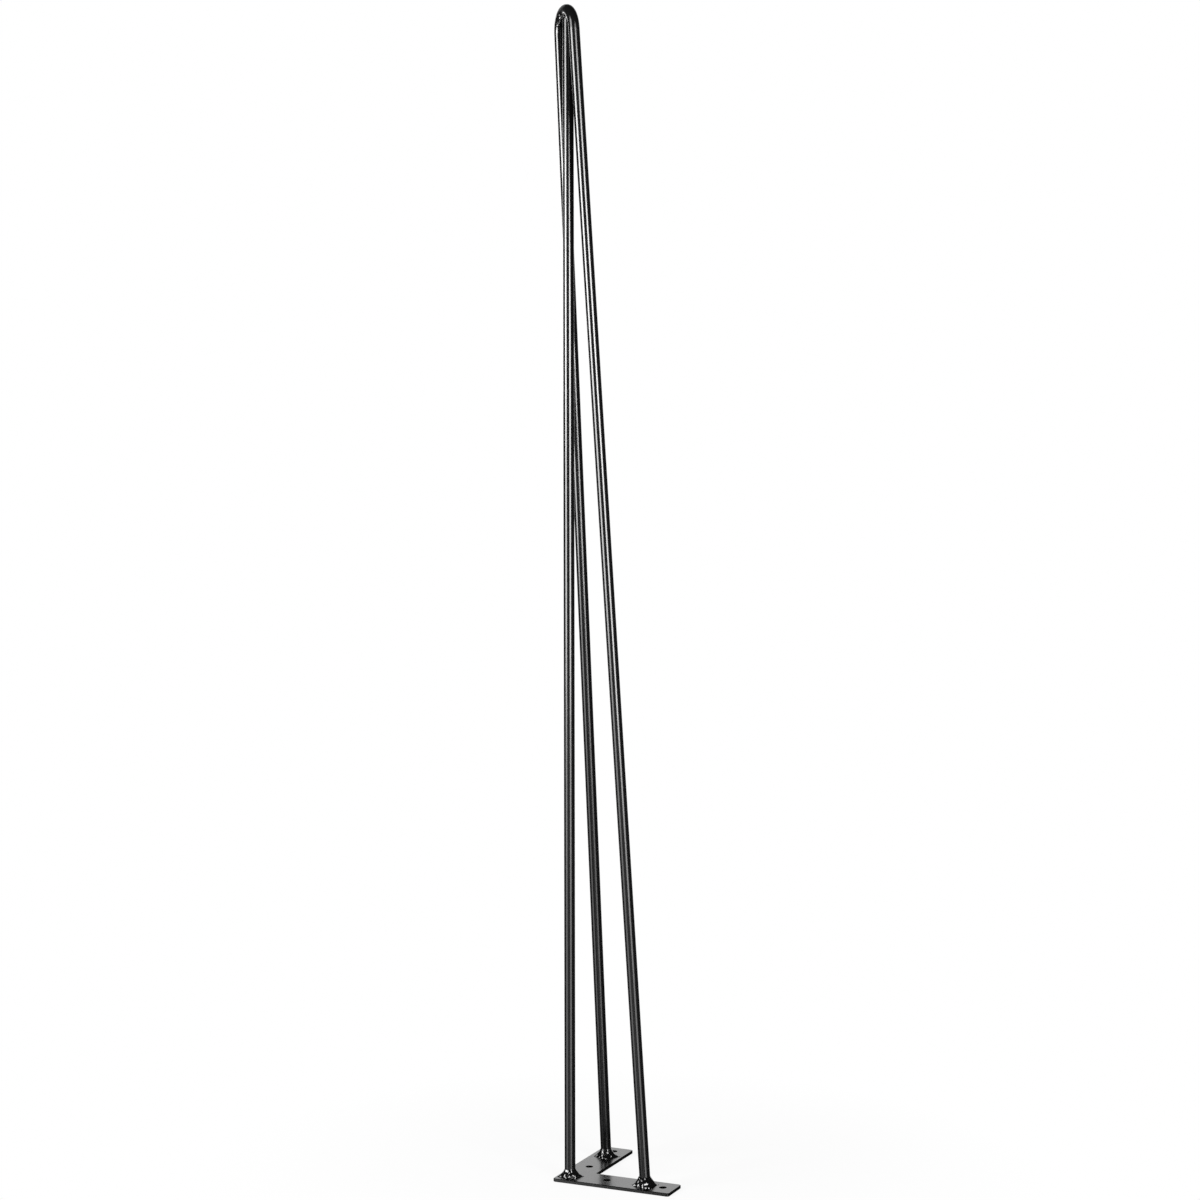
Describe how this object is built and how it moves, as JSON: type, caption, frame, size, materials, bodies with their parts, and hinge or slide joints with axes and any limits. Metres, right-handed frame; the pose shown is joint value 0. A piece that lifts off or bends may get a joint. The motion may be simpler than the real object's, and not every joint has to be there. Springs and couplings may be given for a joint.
{
  "type": "hairpin table leg",
  "caption": "Tall hairpin table leg: a bent round rod and a straight corner rod welded to an L-shaped screw plate, black powder coated.",
  "frame": {"origin": "on the plate's mounting face, under the corner rod's axis", "axes": "+Z out of the mounting face along the leg to its bend, +X and +Y along the plate's two arms"},
  "size_m": [0.1175, 0.1175, 1.0159],
  "materials": {
    "rod_coat": "semi-gloss black powder coat, very fine orange peel",
    "plate_coat": "semi-gloss black powder coat, fine texture",
    "weld_coat": "glossier black powder coat over weld lumps"
  },
  "bodies": {
    "root": {"mounting_plate": "plate_coat", "hairpin_rod": "rod_coat", "corner_rod": "rod_coat", "corner_weld": "weld_coat", "x_arm_weld": "weld_coat", "y_arm_weld": "weld_coat", "bend_weld": "weld_coat"}
  },
  "joints": []
}
